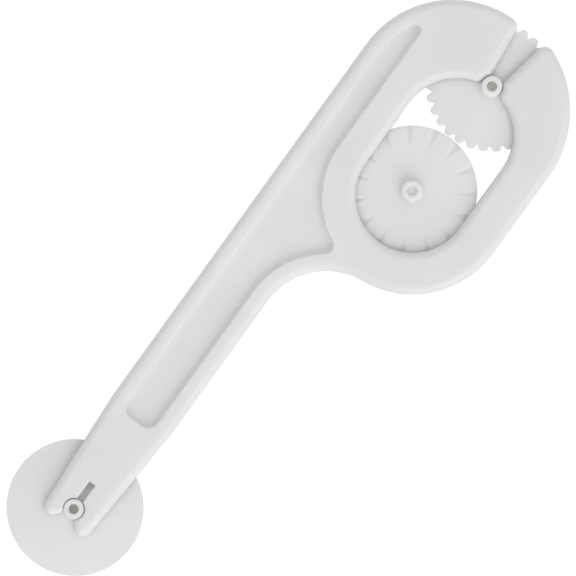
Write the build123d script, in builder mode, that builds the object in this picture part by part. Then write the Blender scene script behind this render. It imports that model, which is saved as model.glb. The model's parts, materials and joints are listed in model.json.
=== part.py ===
from build123d import *
import os
from math import acos, asin, atan2, cos, degrees, hypot, radians, sin, sqrt, tan

# A fondant cutting wheel of moulded plastic, lying flat on its back face.
# A fork at one end of the grip carries the wheel in use, and a loop at the other end stores two more wheels.
# Millimetres. X runs along the grip towards the loop and Z points up.
# The origin is under the middle of the whole tool's box, on the surface that it lies on.

# Hubs, which are alike but for the depth of the wavy wheel's holes
hub_diameter = 5.4
hub_hole_diameter = 2.7
hub_hole_depth = 3.6
hub_hole_draft = 2.0
hub_end_drop = 0.1
hub_edge_break = 0.3

# Plain wheel
plain_diameter = 36.3
plain_edge_thickness = 0.5
plain_root_thickness = 3.3

# Wavy wheel
wavy_diameter = 34.3
wavy_thickness = 2.6
flute_count = 15
flute_start_diameter = 22.6
flute_width = 3.0
flute_depth = 0.8
flute_phase = 14.8
wavy_hole_depth = 0.8

# Ridged wheel
ridged_diameter = 34.2
ridged_thickness = 2.7
tooth_count = 30
tooth_depth = 1.65
tooth_phase = 4.5
tooth_corner = 0.75
notch_angle = 66.0

# Handle: its thickness, its grip and its fork
thickness = 9.0
slot_gap = 4.0
edge_round = 2.2
grip_width = 18.6
fork_width = 14.9
fork_length = 30.5
fork_blend = 60.0
prong_reach = 5.3
prong_corner = 2.6
mouth_angle = 74.0
mouth_round = 1.9
slit_width = 1.85
slit_reach = 8.4
seat_edge_break = 0.25

# Handle: the loop for the stored wheels
store_reach = 154.6
loop_band = 11.05
loop_end_drop = 0.85
loop_blend = 19.0
opening_width = 30.0
opening_inset = 8.9
seat_step = 0.8
seat_corner = 2.3
neck_width = 3.7
neck_corner = 1.2
channel_left_flare = 6.5
channel_right_flare = 10.0
left_end_band = 17.6
left_end_round = 27.8
right_end_band = 19.0
right_end_round = 29.5
mouth_corner = 2.6

# Handle: the recess in the front and back faces
recess_depth = 2.0
recess_start = 28.5
recess_left_margin = 4.1
recess_right_margin = 4.65
recess_loop_margin = 8.4
recess_loop_shift = 0.9
recess_end_corner = 3.2
recess_loop_corner = 2.4
recess_tip_corner = 1.6
recess_lip_round = 0.4
recess_floor_round = 1.4

# Clearances
seat_clearance = 0.2
seat_play = 0.12
flare_clearance = 0.05
rim_clearance = 0.9
slot_side_clearance = 0.35
stored_gap = 0.2
stored_side_play = 0.85

# Digits kept when edges are put in order
place_digits = 3

# Radii and heights that follow
middle_z = thickness / 2
plate = (thickness - slot_gap) / 2
hub_radius = hub_diameter / 2
hub_half_length = middle_z - hub_end_drop
plain_radius = plain_diameter / 2
wavy_radius = wavy_diameter / 2
ridged_radius = ridged_diameter / 2
seat_radius = hub_radius + seat_clearance

# Places along the grip (x) and across it (y), counted from the plain wheel's axis
# Each seated hub has taken up part of its play, away from the slit or towards the channel
opening_half = opening_width / 2
loop_y = -opening_inset - opening_half
fork_seat_x = seat_play
store_seat_x = store_reach - seat_play
stored_spacing = wavy_radius + ridged_radius + stored_gap
wavy_x = store_reach - sqrt(stored_spacing**2 - stored_side_play**2)
wavy_y = loop_y + stored_side_play

# Fork
grip_half = grip_width / 2
prong_half = fork_width / 2 - (grip_width - fork_width) / 2 * prong_reach / fork_length
fork_mouth_x = prong_reach + edge_round
fork_mouth_half = fork_mouth_x * tan(radians(mouth_angle / 2))

# Loop, the two ends that its channel parts, and the arc that blends it into the grip
opening_low_x = wavy_x - loop_end_drop
opening_high_x = store_reach - seat_step - opening_half
loop_radius = opening_half + loop_band
loop_side = loop_y - loop_radius
left_x = store_reach + left_end_band - left_end_round
left_y = grip_half - left_end_round
left_angle = degrees(asin((loop_y - left_y) / left_end_round))
right_x = store_reach + right_end_band - right_end_round
right_y = loop_side + right_end_round
right_angle = degrees(asin((loop_y - right_y) / right_end_round))
blend_y = -grip_half - loop_blend
blend_span = loop_radius + loop_blend
blend_angle = degrees(asin((loop_y - blend_y) / blend_span))
blend_x = opening_low_x - blend_span * cos(radians(blend_angle))
neck_x = store_seat_x + sqrt(seat_radius**2 - (neck_width / 2) ** 2)
mouth_x = store_reach + max(left_end_band, right_end_band)
channel_length = mouth_x - neck_x
stored_shift = hypot(stored_side_play, loop_end_drop)
slot_half = max(wavy_radius + stored_shift, ridged_radius) + slot_side_clearance


def triangle_angle(near, other, opposite):
    """Angle in degrees between two sides of a triangle, from the lengths of its three sides."""
    return degrees(acos((near**2 + other**2 - opposite**2) / (2 * near * other)))


# Recess: it keeps its margins from the outline and from the loop's opening
recess_left = grip_half - recess_left_margin
recess_right = recess_right_margin - grip_half
recess_corner = left_end_round - recess_left_margin
recess_blend = loop_blend + recess_right_margin
recess_inner = opening_half + recess_loop_margin
recess_inner_x = opening_low_x - recess_loop_shift
recess_inner_y = loop_y + recess_inner
recess_span = hypot(recess_inner_x - blend_x, loop_y - blend_y)
recess_lean = degrees(atan2(loop_y - blend_y, recess_inner_x - blend_x))
recess_tip_angle = degrees(asin((recess_inner_y - left_y) / recess_corner))
recess_tip_x = left_x + recess_corner * cos(radians(recess_tip_angle))
recess_blend_angle = recess_lean + triangle_angle(recess_blend, recess_span, recess_inner)
recess_inner_angle = 180 + recess_lean - triangle_angle(recess_inner, recess_span, recess_blend)

# Flutes of the wavy wheel: a V whose bottom runs from the disc's face down to the rim and past it
flute_pitch = 360 / flute_count
flute_run = wavy_radius - flute_start_diameter / 2
flute_tilt = atan2(flute_depth, flute_run)
flute_over = flute_depth
flute_length = (flute_run + flute_over) / cos(flute_tilt)
flute_height = 2 * flute_depth
flute_half = flute_height * flute_width / 2 / (flute_depth * cos(flute_tilt))
flute_foot = wavy_thickness / 2 - (flute_run + flute_over) * tan(flute_tilt)
flute_plane = Plane(
    origin=(wavy_radius + flute_over, 0, flute_foot),
    x_dir=(0, 1, 0),
    z_dir=(-cos(flute_tilt), 0, sin(flute_tilt)),
)

# Teeth of the ridged wheel: a V notch between each two, with straight flanks from its root to the rim
tooth_pitch = 360 / tooth_count
notch_half = radians(notch_angle / 2)
root_radius = ridged_radius - tooth_depth
flank = sqrt(ridged_radius**2 - (root_radius * sin(notch_half)) ** 2) - root_radius * cos(notch_half)
notch_spread = degrees(asin(flank * sin(notch_half) / ridged_radius))


def polar(radius, angle):
    """Point at a radius and an angle in degrees."""
    return (radius * cos(radians(angle)), radius * sin(radians(angle)))


with BuildSketch() as tooth_ring:
    tooth_points = []
    for tooth in range(tooth_count):
        root_angle = tooth_phase + (tooth + 1 / 2) * tooth_pitch
        tooth_points.append(polar(ridged_radius, root_angle - notch_spread))
        tooth_points.append(polar(root_radius, root_angle))
        tooth_points.append(polar(ridged_radius, root_angle + notch_spread))
    with BuildLine():
        Polyline(*tooth_points, close=True)
    make_face()
    fillet(tooth_ring.vertices().group_by(SortBy.DISTANCE)[-1], tooth_corner)

# Outline of the handle about the plain wheel's axis, with the fork not yet cut
with BuildSketch() as outline:
    with BuildLine():
        Line((-prong_reach, prong_half), (-prong_reach, -prong_half))
        Polyline((-prong_reach, -prong_half), (fork_length, -grip_half), (blend_x, -grip_half))
        CenterArc((blend_x, blend_y), loop_blend, 90, blend_angle - 90)
        CenterArc((opening_low_x, loop_y), loop_radius, 180 + blend_angle, 90 - blend_angle)
        Line((opening_low_x, loop_side), (right_x, loop_side))
        right_end = CenterArc((right_x, right_y), right_end_round, -90, 90 + right_angle)
        left_end = CenterArc((left_x, left_y), left_end_round, left_angle, 90 - left_angle)
        Line(right_end @ 1, left_end @ 0)
        Polyline((left_x, grip_half), (fork_length, grip_half), (-prong_reach, prong_half))
    make_face()
    fillet(outline.vertices().group_by(Axis.X)[0], prong_corner)
    fillet(outline.vertices().filter_by_position(Axis.X, fork_length / 2, blend_x / 2), fork_blend)

    # Loop opening, the seat for a stored hub, and the channel that hubs are pressed in through
    with Locations(((opening_low_x + opening_high_x) / 2, loop_y)):
        SlotCenterToCenter(opening_high_x - opening_low_x, opening_width, mode=Mode.SUBTRACT)
    with Locations((store_seat_x, loop_y)):
        Circle(seat_radius, mode=Mode.SUBTRACT)
    with BuildLine():
        Polyline(
            (store_seat_x, loop_y + neck_width / 2),
            (neck_x, loop_y + neck_width / 2),
            (mouth_x, loop_y + neck_width / 2 + channel_length * tan(radians(channel_left_flare))),
            (mouth_x, loop_y - neck_width / 2 - channel_length * tan(radians(channel_right_flare))),
            (neck_x, loop_y - neck_width / 2),
            (store_seat_x, loop_y - neck_width / 2),
            close=True,
        )
    make_face(mode=Mode.SUBTRACT)
    channel_corners = outline.vertices().filter_by_position(Axis.X, store_seat_x, mouth_x)
    fillet(channel_corners.filter_by_position(Axis.X, (neck_x + mouth_x) / 2, mouth_x), mouth_corner)
    fillet(channel_corners.filter_by_position(Axis.X, store_seat_x, (neck_x + mouth_x) / 2), neck_corner)
    lobe_corners = outline.vertices().filter_by_position(
        Axis.X, (opening_high_x + store_seat_x) / 2, store_seat_x
    )
    fillet(lobe_corners.filter_by_position(Axis.Y, loop_y - opening_half, loop_y + opening_half), seat_corner)

# The whole tool's box is centred on the origin
reach = max(outline.sketch.bounding_box().max.X, store_reach + tooth_ring.sketch.bounding_box().max.X)
axle_x = (plain_radius - reach) / 2
axle_y = (-loop_side - plain_radius) / 2
back_plane = Plane(origin=(axle_x, axle_y, 0))
front_plane = back_plane.offset(thickness)
slot_plane = back_plane.offset(plate)
plain_centre = Plane(origin=(axle_x, axle_y, middle_z))
wavy_centre = Plane(origin=(axle_x + wavy_x, axle_y + wavy_y, middle_z))
ridged_centre = Plane(origin=(axle_x + store_reach, axle_y + loop_y, middle_z))


def section_plane(centre):
    """Upright plane through a wheel's axis: local x is the radius, local y the height above the middle."""
    return Plane(origin=centre.origin, x_dir=(1, 0, 0), z_dir=(0, -1, 0))


def wheel_axis(centre):
    """Upright axis of a wheel."""
    return Axis(centre.origin, (0, 0, 1))


def draw_hub(face_height, hole_depth):
    """Draw a hub's half section, from its cored hole to the foot where it flares into a disc's face.

    The flare stays inside the slot, so that the hub runs straight where it is seated.
    """
    hole_radius = hub_hole_diameter / 2
    floor_height = hub_half_length - hole_depth
    floor_radius = hole_radius - hole_depth * tan(radians(hub_hole_draft))
    flare = slot_gap / 2 - face_height - flare_clearance
    Polyline(
        (0, 0),
        (0, floor_height),
        (floor_radius, floor_height),
        (hole_radius, hub_half_length),
        (hub_radius - hub_edge_break, hub_half_length),
        (hub_radius, hub_half_length - hub_edge_break),
        (hub_radius, face_height + flare),
        (hub_radius + flare, face_height),
    )
    return hub_radius + flare


def in_order(edges):
    """Edges sorted by the places of their middles, so that every run rounds them in the same order."""
    return edges.sort_by(lambda edge: [round(place, place_digits) for place in edge.center()])


os.makedirs("parts", exist_ok=True)

# Handle: one moulding of grip, fork and loop
with BuildPart() as handle:
    with BuildSketch(back_plane):
        add(outline.sketch)
    extrude(amount=thickness)
    fillet(in_order(handle.faces().filter_by(Axis.Z).edges()), edge_round)

    # Recess along the grip, the same in the back and front faces
    with BuildSketch(back_plane, front_plane.offset(-recess_depth)) as recess:
        with BuildLine():
            Polyline((recess_start, recess_right), (recess_start, recess_left), (left_x, recess_left))
            CenterArc((left_x, left_y), recess_corner, 90, recess_tip_angle - 90)
            Line((recess_tip_x, recess_inner_y), (recess_inner_x, recess_inner_y))
            CenterArc((recess_inner_x, loop_y), recess_inner, 90, recess_inner_angle - 90)
            CenterArc((blend_x, blend_y), recess_blend, recess_blend_angle, 90 - recess_blend_angle)
            Line((blend_x, recess_right), (recess_start, recess_right))
        make_face()
        fillet(recess.vertices().group_by(Axis.X)[0], recess_end_corner)
        fillet(recess.vertices().sort_by(Axis.Y)[0], recess_loop_corner)
        fillet(recess.vertices().sort_by(Axis.X)[-1], recess_tip_corner)
    extrude(amount=recess_depth, mode=Mode.SUBTRACT)
    recess_edges = handle.edges(Select.LAST)
    recess_floors = (
        handle.faces(Select.LAST)
        .filter_by(Axis.Z)
        .filter_by_position(Axis.Z, recess_depth / 2, thickness - recess_depth / 2)
    )
    lip_edges = recess_edges.group_by(Axis.Z)[0] + recess_edges.group_by(Axis.Z)[-1]
    fillet(recess_floors.edges(), recess_floor_round)
    fillet(lip_edges, recess_lip_round)

    # Mouth of the fork, then the seat for the hub in use and the slit that lets the prongs spring apart
    with BuildSketch(back_plane):
        with BuildLine():
            Polyline(
                (0, 0),
                (-fork_mouth_x, fork_mouth_half),
                (-fork_mouth_x, -fork_mouth_half),
                close=True,
            )
        make_face()
    extrude(amount=thickness, mode=Mode.SUBTRACT)
    mouth_edges = handle.edges(Select.LAST)
    mouth_corners = mouth_edges.filter_by(Axis.Z).filter_by_position(
        Axis.X, axle_x - fork_mouth_x, axle_x - prong_reach / 2
    )
    mouth_rims = mouth_edges.filter_by(Axis.Z, reverse=True)
    fillet(in_order(mouth_rims + mouth_corners), mouth_round)
    with BuildSketch(back_plane):
        with Locations((fork_seat_x, 0)):
            Circle(seat_radius)
        Rectangle(slit_reach, slit_width, align=(Align.MIN, Align.CENTER))
    extrude(amount=thickness, mode=Mode.SUBTRACT)
    seat_rims = handle.edges(Select.LAST).filter_by(Axis.Z, reverse=True)
    chamfer(in_order(seat_rims), seat_edge_break)

    # Slots in the middle of the thickness: one for the wheel in use, one for the stored wheels
    with BuildSketch(slot_plane):
        Circle(plain_radius + rim_clearance)
        with Locations((opening_low_x, loop_y)):
            Circle(slot_half)
            Rectangle(mouth_x - opening_low_x, 2 * slot_half, align=(Align.MIN, Align.CENTER))
    extrude(amount=slot_gap, mode=Mode.SUBTRACT)

handle.part.label = "handle"
export_step(handle.part, "parts/handle.step")

# Plain wheel: a thin cone on each side of a sharp rim
with BuildPart() as plain_wheel:
    with BuildSketch(section_plane(plain_centre)):
        with BuildLine():
            foot = draw_hub(plain_root_thickness / 2, hub_hole_depth)
            Polyline(
                (foot, plain_root_thickness / 2),
                (plain_radius, plain_edge_thickness / 2),
                (plain_radius, 0),
                (0, 0),
            )
        make_face()
        mirror(about=Plane.XZ)
    revolve(axis=wheel_axis(plain_centre))

plain_wheel.part.label = "plain_wheel"
export_step(plain_wheel.part, "parts/plain_wheel.step")

# Wavy wheel: a flat disc whose rim is waved by tapered flutes, cut from its two faces in turn
with BuildPart(wavy_centre) as wavy_wheel:
    with BuildSketch(section_plane(wavy_centre)):
        with BuildLine():
            foot = draw_hub(wavy_thickness / 2, wavy_hole_depth)
            Polyline(
                (foot, wavy_thickness / 2),
                (wavy_radius, wavy_thickness / 2),
                (wavy_radius, 0),
                (0, 0),
            )
        make_face()
        mirror(about=Plane.XZ)
    revolve(axis=wheel_axis(wavy_centre))
    with BuildSketch(flute_plane, mode=Mode.PRIVATE) as flute_section:
        with BuildLine():
            Polyline((0, 0), (flute_half, -flute_height), (-flute_half, -flute_height), close=True)
        make_face()
    front_flute = extrude(flute_section.sketch, amount=flute_length, mode=Mode.PRIVATE)
    back_flute = mirror(front_flute, about=Plane.XY, mode=Mode.PRIVATE)
    with PolarLocations(0, flute_count, flute_phase):
        add(front_flute, mode=Mode.SUBTRACT)
    with PolarLocations(0, flute_count, flute_phase + flute_pitch / 2):
        add(back_flute, mode=Mode.SUBTRACT)

wavy_wheel.part.label = "wavy_wheel"
export_step(wavy_wheel.part, "parts/wavy_wheel.step")

# Ridged wheel: a flat disc with round-tipped teeth
with BuildPart() as ridged_wheel:
    with BuildSketch(ridged_centre.offset(-ridged_thickness / 2)):
        add(tooth_ring.sketch)
    extrude(amount=ridged_thickness)
    with BuildSketch(section_plane(ridged_centre)):
        with BuildLine():
            foot = draw_hub(ridged_thickness / 2, hub_hole_depth)
            Polyline((foot, ridged_thickness / 2), (foot, 0), (0, 0))
        make_face()
        mirror(about=Plane.XZ)
    revolve(axis=wheel_axis(ridged_centre))

ridged_wheel.part.label = "ridged_wheel"
export_step(ridged_wheel.part, "parts/ridged_wheel.step")
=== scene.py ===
"""Looks of a fondant cutting wheel: moulded plastic finishes, a white table and the photo's camera."""

import json
import logging
import math
from dataclasses import dataclass
from enum import Enum

import bpy
from mathutils import Matrix, Vector

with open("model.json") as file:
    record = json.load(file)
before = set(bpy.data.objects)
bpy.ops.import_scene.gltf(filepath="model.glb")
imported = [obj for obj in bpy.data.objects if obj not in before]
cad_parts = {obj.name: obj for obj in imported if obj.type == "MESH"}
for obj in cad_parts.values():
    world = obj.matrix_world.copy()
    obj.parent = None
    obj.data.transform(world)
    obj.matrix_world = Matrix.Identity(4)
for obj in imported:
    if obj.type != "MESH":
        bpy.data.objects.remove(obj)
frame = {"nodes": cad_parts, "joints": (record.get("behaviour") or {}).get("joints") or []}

log = logging.getLogger("fondant_cutting_wheel")

Colour = tuple[float, float, float]
Point = tuple[float, float, float]
Span = tuple[float, float]
Socket = bpy.types.NodeSocket

MM = 0.001
PHOTO_SIDE = 576
OPAQUE = 1.0
WHITE: Colour = (1.0, 1.0, 1.0)
RISING: Span = (0.0, 1.0)
FALLING: Span = (1.0, 0.0)
ALL_ROUND: Span = (-1.0, 1.0)
LEVEL: Point = (1.0, 1.0, 0.0)


class Wheel(Enum):
    """The three wheels, by the names of their CAD nodes."""

    PLAIN = "plain_wheel"
    WAVY = "wavy_wheel"
    RIDGED = "ridged_wheel"


class NodeChain:
    """Short ways to add and join the nodes of one material or world."""

    def __init__(self, owner: bpy.types.Material | bpy.types.World) -> None:
        """Start on an empty node tree.

        Args:
            owner: the material or world whose nodes are made.
        """
        owner.use_nodes = True
        self.tree = owner.node_tree
        self.tree.nodes.clear()

    def add(self, kind: str, **settings: object) -> bpy.types.Node:
        """Add a node and set its properties.

        Args:
            kind: the node's Blender type.
            settings: properties of the node by name.

        Returns:
            The new node.
        """
        node = self.tree.nodes.new(kind)
        for name, value in settings.items():
            setattr(node, name, value)
        return node

    def join(self, start: Socket, end: Socket) -> None:
        """Link an output socket to an input socket."""
        self.tree.links.new(start, end)

    def noise(self, place: Socket, size: float, layers: float, seed: float) -> Socket:
        """Add a noise texture.

        Args:
            place: the coordinates that it is read at.
            size: the size of its blotches in metres.
            layers: the number of finer layers.
            seed: a shift along the fourth dimension.

        Returns:
            The noise's grey value, from 0 to 1.
        """
        node = self.add("ShaderNodeTexNoise", noise_dimensions="4D")
        node.inputs["Scale"].default_value = 1 / size
        node.inputs["Detail"].default_value = layers
        node.inputs["W"].default_value = seed
        self.join(place, node.inputs["Vector"])
        return node.outputs["Fac"]

    def spread(self, value: Socket, source: Span, target: Span) -> Socket:
        """Map one range of a value onto another, and hold it there.

        Args:
            value: the value to map.
            source: the range that it comes from.
            target: the range that it goes to.

        Returns:
            The mapped value.
        """
        node = self.add("ShaderNodeMapRange")
        node.inputs["From Min"].default_value = source[0]
        node.inputs["From Max"].default_value = source[1]
        node.inputs["To Min"].default_value = target[0]
        node.inputs["To Max"].default_value = target[1]
        self.join(value, node.inputs["Value"])
        return node.outputs["Result"]

    def math(self, operation: str, first: Socket, second: Socket | float = 0.0) -> Socket:
        """Add a sum on one or two values.

        Args:
            operation: the kind of sum.
            first: the first value.
            second: the second value, from a socket or a plain number, where the sum takes one.

        Returns:
            The result.
        """
        node = self.add("ShaderNodeMath", operation=operation)
        self.join(first, node.inputs[0])
        if isinstance(second, Socket):
            self.join(second, node.inputs[1])
        else:
            node.inputs[1].default_value = second
        return node.outputs[0]

    def vector(self, operation: str, first: Socket, second: Point = (0.0, 0.0, 0.0)) -> Socket:
        """Add a sum on a vector.

        Args:
            operation: the kind of sum.
            first: the vector.
            second: the plain vector that it is joined with, where the sum takes one.

        Returns:
            The result, which is a number for a length and a vector otherwise.
        """
        node = self.add("ShaderNodeVectorMath", operation=operation)
        node.inputs[1].default_value = second
        self.join(first, node.inputs[0])
        return node.outputs["Value" if operation == "LENGTH" else "Vector"]

    def tint(self, first: Socket | Colour, second: Colour, share: Socket) -> Socket:
        """Mix two colours.

        Args:
            first: the colour at a share of 0.
            second: the colour at a share of 1.
            share: how much of the second colour shows.

        Returns:
            The mixed colour.
        """
        node = self.add("ShaderNodeMix", data_type="RGBA")
        if isinstance(first, Socket):
            self.join(first, node.inputs["A"])
        else:
            node.inputs["A"].default_value = (*first, OPAQUE)
        node.inputs["B"].default_value = (*second, OPAQUE)
        self.join(share, node.inputs["Factor"])
        return node.outputs["Result"]

    def relief(self, height: Socket, depth: float, below: Socket) -> Socket:
        """Add a bump.

        Args:
            height: the relief, from 0 to 1.
            depth: the height of 1 in metres.
            below: the normal that the relief is laid on.

        Returns:
            The new normal.
        """
        node = self.add("ShaderNodeBump")
        node.inputs["Strength"].default_value = 1.0
        node.inputs["Distance"].default_value = depth
        self.join(height, node.inputs["Height"])
        self.join(below, node.inputs["Normal"])
        return node.outputs["Normal"]


@dataclass(frozen=True)
class MouldedPlastic:
    """Satin off-white plastic, as it comes out of a spark-eroded mould."""

    name: str
    seed: float
    colour: Colour = (0.80, 0.80, 0.80)
    shade: Colour = (0.775, 0.778, 0.775)
    blotch: float = 14 * MM
    blotch_layers: float = 3
    blotch_contrast: Span = (0.3, 0.7)
    blotch_seed: float = 1.0
    # paler colour on the edges: partly wear, partly painted sheen
    edge_wear_and_sheen: Colour = (0.83, 0.83, 0.83)
    edge_gloss: float = 0.12
    edge_round: float = 0.22 * MM
    edge_samples: int = 6
    edge_turn: Span = (1.0, 0.85)
    roughness: float = 0.46
    roughness_spread: float = 0.08
    grain: float = 0.16 * MM
    grain_layers: float = 2
    grain_depth: float = 0.005 * MM
    flow: float = 5 * MM
    flow_layers: float = 2
    flow_depth: float = 0.03 * MM
    flow_seed: float = 2.0
    parting_height: float = 4.5 * MM
    parting_width: float = 0.14 * MM
    parting_depth: float = 0.05 * MM
    translucency: float = 0.6
    scatter: float = 3 * MM
    scatter_share: Colour = (1.0, 1.0, 0.9)
    refraction: float = 1.49

    def material(self) -> bpy.types.Material:
        """Build the finish's material.

        Returns:
            The material, with its grain and marks in real sizes.
        """
        material = bpy.data.materials.new(self.name)
        chain = NodeChain(material)
        place = chain.add("ShaderNodeTexCoord").outputs["Object"]
        grain = chain.noise(place, self.grain, self.grain_layers, self.seed)
        rounded, edges = self.find_edges(chain)

        shader = chain.add("ShaderNodeBsdfPrincipled")
        shader.inputs["IOR"].default_value = self.refraction
        shader.inputs["Subsurface Weight"].default_value = self.translucency
        shader.inputs["Subsurface Radius"].default_value = self.scatter_share
        shader.inputs["Subsurface Scale"].default_value = self.scatter
        chain.join(self.paint(chain, place, edges), shader.inputs["Base Color"])
        chain.join(self.polish(chain, grain, edges), shader.inputs["Roughness"])
        chain.join(self.emboss(chain, place, grain, rounded), shader.inputs["Normal"])

        output = chain.add("ShaderNodeOutputMaterial")
        chain.join(shader.outputs["BSDF"], output.inputs["Surface"])
        return material

    def find_edges(self, chain: NodeChain) -> tuple[Socket, Socket]:
        """Soften the edges in shading, and find where they are.

        Args:
            chain: the material's nodes.

        Returns:
            The softened normal, and a value that is 1 on an edge and 0 on a flat face.
        """
        bevel = chain.add("ShaderNodeBevel", samples=self.edge_samples)
        bevel.inputs["Radius"].default_value = self.edge_round
        rounded = bevel.outputs["Normal"]
        facing = chain.add("ShaderNodeVectorMath", operation="DOT_PRODUCT")
        chain.join(rounded, facing.inputs[0])
        chain.join(chain.add("ShaderNodeNewGeometry").outputs["Normal"], facing.inputs[1])
        return rounded, chain.spread(facing.outputs["Value"], self.edge_turn, RISING)

    def paint(self, chain: NodeChain, place: Socket, edges: Socket) -> Socket:
        """Vary the colour in broad blotches, a little paler along the edges, partly as wear and partly
        as painted sheen.

        Args:
            chain: the material's nodes.
            place: the coordinates.
            edges: where the edges are.

        Returns:
            The colour.
        """
        blotches = chain.noise(place, self.blotch, self.blotch_layers, self.seed + self.blotch_seed)
        share = chain.spread(blotches, self.blotch_contrast, RISING)
        # the paler edges are partly wear and partly painted sheen
        return chain.tint(chain.tint(self.shade, self.colour, share), self.edge_wear_and_sheen, edges)

    def polish(self, chain: NodeChain, grain: Socket, edges: Socket) -> Socket:
        """Vary the roughness with the grain, and rub the edges smoother.

        Args:
            chain: the material's nodes.
            grain: the fine grain.
            edges: where the edges are.

        Returns:
            The roughness.
        """
        low = self.roughness - self.roughness_spread
        high = self.roughness + self.roughness_spread
        rough = chain.spread(grain, RISING, (low, high))
        rubbed = chain.math("MULTIPLY", edges, self.edge_gloss)
        return chain.math("SUBTRACT", rough, rubbed)

    def emboss(self, chain: NodeChain, place: Socket, grain: Socket, rounded: Socket) -> Socket:
        """Lay the relief on the surface: sink waves, the parting line of the mould and its grain.

        Args:
            chain: the material's nodes.
            place: the coordinates.
            grain: the fine grain.
            rounded: the normal with softened edges.

        Returns:
            The normal.
        """
        flow = chain.noise(place, self.flow, self.flow_layers, self.seed + self.flow_seed)
        waves = chain.relief(flow, self.flow_depth, rounded)
        split = chain.add("ShaderNodeSeparateXYZ")
        chain.join(place, split.inputs["Vector"])
        above = chain.math("SUBTRACT", split.outputs["Z"], self.parting_height)
        flash = chain.spread(chain.math("ABSOLUTE", above), (0.0, self.parting_width), FALLING)
        parted = chain.relief(flash, self.parting_depth, waves)
        return chain.relief(grain, self.grain_depth, parted)


@dataclass(frozen=True)
class HubbedPlastic(MouldedPlastic):
    """The same plastic on a wheel, with painted light, tinted olive, in the cored hole of its hub."""

    hub: Point = (0.0, 0.0, 0.0)
    hole_painted_light: Colour = (0.84, 0.845, 0.785)
    hole_radius: float = 1.35 * MM
    hole_blur: float = 0.05 * MM

    def paint(self, chain: NodeChain, place: Socket, edges: Socket) -> Socket:
        """Vary the colour as on the other mouldings, and paint olive-tinted light inside the hole, in
        place of light that comes through the plastic.

        Args:
            chain: the material's nodes.
            place: the coordinates.
            edges: where the edges are.

        Returns:
            The colour.
        """
        offset = chain.vector("SUBTRACT", place, self.hub)
        reach = chain.vector("LENGTH", chain.vector("MULTIPLY", offset, LEVEL))
        mouth = (self.hole_radius + self.hole_blur, self.hole_radius - self.hole_blur)
        inside = chain.spread(reach, mouth, RISING)
        # painted light: the inside of the hub's hole is painted paler and olive, for light that comes
        # through the plastic
        return chain.tint(super().paint(chain, place, edges), self.hole_painted_light, inside)


@dataclass(frozen=True)
class ForkedPlastic(MouldedPlastic):
    """The same plastic on the handle, with painted light on the walls of the fork's slit, for light that
    comes through the prongs.
    """

    hub: Point = (0.0, 0.0, 0.0)
    gap_shift: Point = (4.2 * MM, 0.0, 0.0)
    gap_half: Point = (4.4 * MM, 3.1 * MM, 4.2 * MM)
    gap_edge: Span = (1.0, 0.98)
    slit_painted_light: Colour = (0.96, 0.96, 0.96)

    def paint(self, chain: NodeChain, place: Socket, edges: Socket) -> Socket:
        """Vary the colour as on the other mouldings, and paint light on the walls of the slit.

        Args:
            chain: the material's nodes.
            place: the coordinates.
            edges: where the edges are.

        Returns:
            The colour.
        """
        offset = chain.vector("SUBTRACT", place, Vector(self.hub) + Vector(self.gap_shift))
        share = chain.vector("ABSOLUTE", chain.vector("DIVIDE", offset, self.gap_half))
        sides = chain.add("ShaderNodeSeparateXYZ")
        chain.join(share, sides.inputs["Vector"])
        level = chain.math("MAXIMUM", sides.outputs["X"], sides.outputs["Y"])
        furthest = chain.math("MAXIMUM", level, sides.outputs["Z"])
        inside = chain.spread(furthest, self.gap_edge, RISING)
        # painted light: the walls of the slit are painted paler, for light that comes through the prongs
        return chain.tint(super().paint(chain, place, edges), self.slit_painted_light, inside)


@dataclass(frozen=True)
class WhiteTable:
    """The pale floor, which glows enough to print white behind the tool."""

    name: str = "white_table"
    colour: Colour = (0.12, 0.12, 0.12)
    glow_colour: Colour = WHITE
    glow: float = 0.95
    roughness: float = 0.8
    gloss: float = 0.0

    def material(self) -> bpy.types.Material:
        """Build the floor's material.

        Returns:
            The material.
        """
        material = bpy.data.materials.new(self.name)
        chain = NodeChain(material)
        shader = chain.add("ShaderNodeBsdfPrincipled")
        shader.inputs["Base Color"].default_value = (*self.colour, OPAQUE)
        shader.inputs["Roughness"].default_value = self.roughness
        shader.inputs["Specular IOR Level"].default_value = self.gloss
        shader.inputs["Emission Color"].default_value = (*self.glow_colour, OPAQUE)
        shader.inputs["Emission Strength"].default_value = self.glow
        output = chain.add("ShaderNodeOutputMaterial")
        chain.join(shader.outputs["BSDF"], output.inputs["Surface"])
        return material


def dress(node: str, material: bpy.types.Material) -> bpy.types.Object:
    """Give a CAD node its material.

    Args:
        node: the node's name.
        material: the finish to wear.

    Returns:
        The node's object.
    """
    piece = frame["nodes"][node]
    piece.data.materials.clear()
    piece.data.materials.append(material)
    return piece


def hub_middle(wheel: Wheel) -> Point:
    """Find the middle of a wheel's hub, from the wheel's joint.

    Args:
        wheel: the wheel.

    Returns:
        The point.
    """
    joint = next(joint for joint in frame["joints"] if joint["child"] == wheel.value)
    return tuple(joint["pos_m"])


@dataclass
class Handle:
    """The handle with its grip, fork and loop, which is one moulding."""

    node: str = "handle"
    finish: MouldedPlastic = ForkedPlastic(
        "handle_plastic",
        1.0,
        edge_round=0.8 * MM,
        translucency=0.4,
        scatter=4 * MM,
        hub=hub_middle(Wheel.PLAIN),
    )

    def dress(self) -> bpy.types.Object:
        """Give the handle its finish."""
        return dress(self.node, self.finish.material())


@dataclass
class CuttingWheel:
    """One wheel with its hub, which is one moulding."""

    wheel: Wheel
    finish: MouldedPlastic

    def dress(self) -> bpy.types.Object:
        """Give the wheel its finish."""
        return dress(self.wheel.value, self.finish.material())


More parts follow.
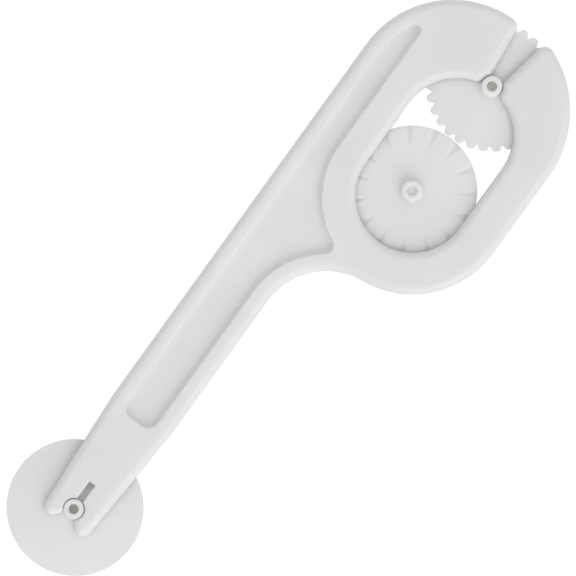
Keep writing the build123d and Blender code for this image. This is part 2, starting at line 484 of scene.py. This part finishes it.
WHEEL_FINISHES: dict[Wheel, MouldedPlastic] = {
    Wheel.PLAIN: HubbedPlastic(
        "plain_wheel_plastic",
        20.0,
        translucency=0.2,
        scatter=1 * MM,
        hub=hub_middle(Wheel.PLAIN),
    ),
    Wheel.WAVY: MouldedPlastic("wavy_wheel_plastic", 30.0, translucency=0.8),
    Wheel.RIDGED: HubbedPlastic(
        "ridged_wheel_plastic",
        40.0,
        colour=(0.805, 0.805, 0.80),
        shade=(0.78, 0.782, 0.776),
        translucency=0.8,
        hub=hub_middle(Wheel.RIDGED),
        # painted light inside the ridged wheel's hub hole, tinted olive
        hole_painted_light=(0.868, 0.875, 0.835),
    ),
}


@dataclass
class Studio:
    """A white table, a wide soft light beside it and light from all round."""

    table: WhiteTable = WhiteTable()
    table_side: float = 6.0
    table_drop: float = 0.02 * MM
    key_direction: Point = (-0.49, -0.87, 0.72)
    key_distance: float = 1.6
    key_side: float = 1.6
    key_power: float = 9.4
    ambient_colour: Colour = WHITE
    ambient: float = 0.657
    ambient_direction: Point = (0.34, -0.19, 0.92)
    ambient_lean: float = 0.24

    def build(self) -> None:
        """Make the floor, the light and the world."""
        self.lay_table()
        self.hang_key()
        self.fill_world()

    def lay_table(self) -> None:
        """Lay the floor just under the tool, and keep its glow off the tool."""
        half = self.table_side / 2
        mesh = bpy.data.meshes.new("table")
        corners = [(-half, -half), (half, -half), (half, half), (-half, half)]
        mesh.from_pydata([(x, y, -self.table_drop) for x, y in corners], [], [(0, 1, 2, 3)])
        mesh.materials.append(self.table.material())
        table = bpy.data.objects.new("table", mesh)
        table.visible_diffuse = False
        bpy.context.scene.collection.objects.link(table)
        log.info("stage: table")

    def hang_key(self) -> None:
        """Hang the wide soft light."""
        light = bpy.data.lights.new("key", "AREA")
        light.shape = "DISK"
        light.size = self.key_side
        light.energy = self.key_power
        key = bpy.data.objects.new("key", light)
        direction = Vector(self.key_direction).normalized()
        key.location = direction * self.key_distance
        key.rotation_mode = "QUATERNION"
        key.rotation_quaternion = direction.to_track_quat("Z", "Y")
        bpy.context.scene.collection.objects.link(key)
        log.info("light: key")

    def fill_world(self) -> None:
        """Set the white light from all round, which is stronger from one side."""
        world = bpy.data.worlds.new("studio")
        chain = NodeChain(world)
        side = chain.add("ShaderNodeVectorMath", operation="DOT_PRODUCT")
        side.inputs[1].default_value = Vector(self.ambient_direction).normalized()
        chain.join(chain.add("ShaderNodeTexCoord").outputs["Generated"], side.inputs[0])
        low = self.ambient * (1 - self.ambient_lean)
        high = self.ambient * (1 + self.ambient_lean)
        strength = chain.spread(side.outputs["Value"], ALL_ROUND, (low, high))
        sky = chain.add("ShaderNodeBackground")
        sky.inputs["Color"].default_value = (*self.ambient_colour, OPAQUE)
        chain.join(strength, sky.inputs["Strength"])
        output = chain.add("ShaderNodeOutputWorld")
        chain.join(sky.outputs["Background"], output.inputs["Surface"])
        bpy.context.scene.world = world
        log.info("light: world")


@dataclass
class PhotoCamera:
    """The camera of the photo: high above the loop, looking down at the middle of the tool."""

    stand: Point = (39.48 * MM, 3.26 * MM, 850 * MM)
    aim: Point = (3.384 * MM, 4.284 * MM, 7 * MM)
    grip_angle: float = 54.131
    pixel: float = 0.26319 * MM
    sensor: float = 36.0
    near: float = 0.01
    far: float = 20.0

    def build(self) -> None:
        """Make the camera and choose it."""
        data = bpy.data.cameras.new("photo_camera")
        camera = bpy.data.objects.new("photo_camera", data)
        stand = Vector(self.stand)
        aim = Vector(self.aim)
        back = (stand - aim).normalized()
        angle = math.radians(self.grip_angle)
        right = Vector((math.sin(angle), math.cos(angle), 0)).cross(back).normalized()
        up = back.cross(right)
        rotation = Matrix((right, up, back)).transposed()
        camera.matrix_world = Matrix.Translation(stand) @ rotation.to_4x4()
        data.sensor_width = self.sensor
        data.lens = self.sensor * (stand - aim).length / (self.pixel * PHOTO_SIDE)
        data.clip_start = self.near
        data.clip_end = self.far
        bpy.context.scene.collection.objects.link(camera)
        bpy.context.scene.camera = camera
        view = bpy.context.scene.view_settings
        view.view_transform = "Standard"
        view.look = "None"
        log.info("camera: photo_camera")


def main() -> None:
    """Dress the tool piece by piece, then set the table, the light and the camera."""
    logging.basicConfig(level=logging.INFO, format="%(name)s: %(message)s")
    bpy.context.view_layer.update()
    pieces = [Handle().dress()]
    for wheel, finish in WHEEL_FINISHES.items():
        pieces.append(CuttingWheel(wheel, finish).dress())
    for piece in pieces:
        log.info("piece: %s, %d faces", piece.name, len(piece.data.polygons))
    Studio().build()
    PhotoCamera().build()


if __name__ == "__main__":
    main()
